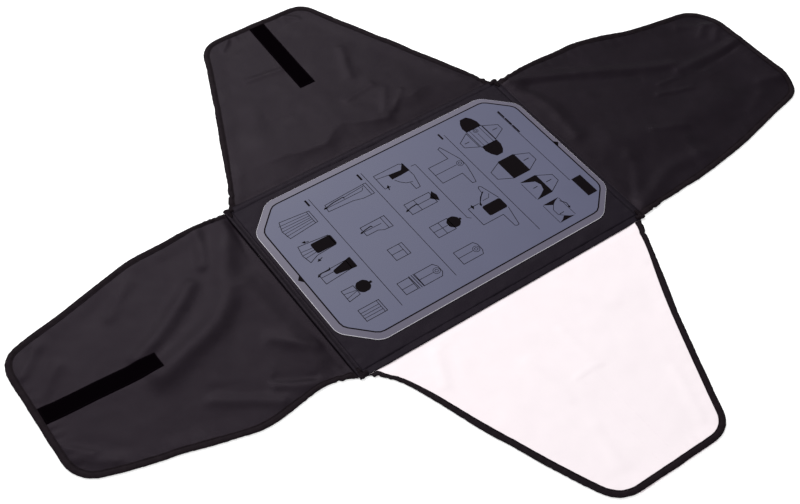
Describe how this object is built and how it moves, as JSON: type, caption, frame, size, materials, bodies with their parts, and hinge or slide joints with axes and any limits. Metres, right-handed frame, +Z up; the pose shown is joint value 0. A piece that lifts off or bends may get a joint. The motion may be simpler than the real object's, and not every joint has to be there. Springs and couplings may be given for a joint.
{
  "type": "garment packing folder",
  "caption": "Fabric clothes-packing folder lying open: a centre panel with a loose printed folding board and folding wings with hook-and-loop fasteners.",
  "frame": {"origin": "under the middle of the centre panel, on the surface that the open folder lies on", "axes": "+X along the centre panel's long side, towards the right wing; +Y towards the back wing; +Z up"},
  "size_m": [1.1548, 0.933, 0.0036],
  "materials": {
    "panel_fabric": "plain-woven polyester, matt black",
    "panel_lining": "plain-woven nylon, near black with a navy cast, slight sheen",
    "panel_hem": "turned and stitched nylon edge, near black",
    "edge_binding": "ribbed binding tape, folded over the edge and stitched, black",
    "wing_fabric_dark": "fine coated polyester, charcoal, soft satin sheen",
    "wing_fabric_white": "fine coated polyester, warm white, matt",
    "hook_tape": "hook fastener tape, black, dense upright hooks",
    "loop_tape": "loop fastener tape, black, brushed pile",
    "board_plastic": "translucent polypropylene sheet, frosted, smoky grey",
    "board_print": "screen-printed black ink"
  },
  "bodies": {
    "base": {"center_outer": "panel_fabric", "center_lining": "panel_lining", "hem_left": "panel_hem", "hem_right": "panel_hem", "hem_front": "panel_hem", "hem_back": "panel_hem", "corner_binding_front_left": "edge_binding", "corner_binding_front_right": "edge_binding", "corner_binding_back_left": "edge_binding", "corner_binding_back_right": "edge_binding"},
    "board": {"folding_board": "board_plastic"},
    "right_riser": {"right_riser_fabric": "wing_fabric_dark", "right_riser_binding": "edge_binding"},
    "right_flap": {"right_flap_fabric": "wing_fabric_dark", "right_flap_binding": "edge_binding", "right_loop_strip": "loop_tape"},
    "left_riser": {"left_riser_fabric": "wing_fabric_dark", "left_riser_binding": "edge_binding"},
    "left_flap": {"left_flap_fabric": "wing_fabric_dark", "left_flap_binding": "edge_binding", "left_hook_strip": "hook_tape"},
    "front_riser": {"front_riser_fabric": "wing_fabric_white", "front_riser_binding": "edge_binding"},
    "front_flap": {"front_flap_fabric": "wing_fabric_white", "front_flap_binding": "edge_binding", "front_loop_strip": "loop_tape"},
    "back_riser": {"back_riser_fabric": "wing_fabric_dark", "back_riser_binding": "edge_binding"},
    "back_flap": {"back_flap_fabric": "wing_fabric_dark", "back_flap_binding": "edge_binding", "back_hook_strip": "hook_tape"}
  },
  "joints": [
    {"name": "board_lift", "type": "slide", "parent": "base", "child": "board", "axis": [0, 0, 1], "range_m": [0, 0.05]},
    {"name": "right_seam_fold", "type": "hinge", "parent": "base", "child": "right_riser", "pos_m": [0.22845, 0, 0.0018], "axis": [0, -1, 0], "range_deg": [0, 90]},
    {"name": "right_crease_fold", "type": "hinge", "parent": "right_riser", "child": "right_flap", "pos_m": [0.28845, 0, 0.0018], "axis": [0, -1, 0], "range_deg": [0, 90]},
    {"name": "left_seam_fold", "type": "hinge", "parent": "base", "child": "left_riser", "pos_m": [-0.22845, 0, 0.0018], "axis": [0, 1, 0], "range_deg": [0, 90]},
    {"name": "left_crease_fold", "type": "hinge", "parent": "left_riser", "child": "left_flap", "pos_m": [-0.29325, 0, 0.0018], "axis": [0, 1, 0], "range_deg": [0, 90]},
    {"name": "front_seam_fold", "type": "hinge", "parent": "base", "child": "front_riser", "pos_m": [0, -0.16145, 0.0018], "axis": [-1, 0, 0], "range_deg": [0, 90]},
    {"name": "front_crease_fold", "type": "hinge", "parent": "front_riser", "child": "front_flap", "pos_m": [0, -0.23105, 0.0018], "axis": [-1, 0, 0], "range_deg": [0, 90]},
    {"name": "back_seam_fold", "type": "hinge", "parent": "base", "child": "back_riser", "pos_m": [0, 0.16145, 0.0018], "axis": [1, 0, 0], "range_deg": [0, 90]},
    {"name": "back_crease_fold", "type": "hinge", "parent": "back_riser", "child": "back_flap", "pos_m": [0, 0.23585, 0.0018], "axis": [1, 0, 0], "range_deg": [0, 90]}
  ],
  "couplings": [
    {"joint": "right_crease_fold", "follows": "right_seam_fold", "ratio": 1},
    {"joint": "left_crease_fold", "follows": "left_seam_fold", "ratio": 1},
    {"joint": "front_crease_fold", "follows": "front_seam_fold", "ratio": 1},
    {"joint": "back_crease_fold", "follows": "back_seam_fold", "ratio": 1}
  ]
}
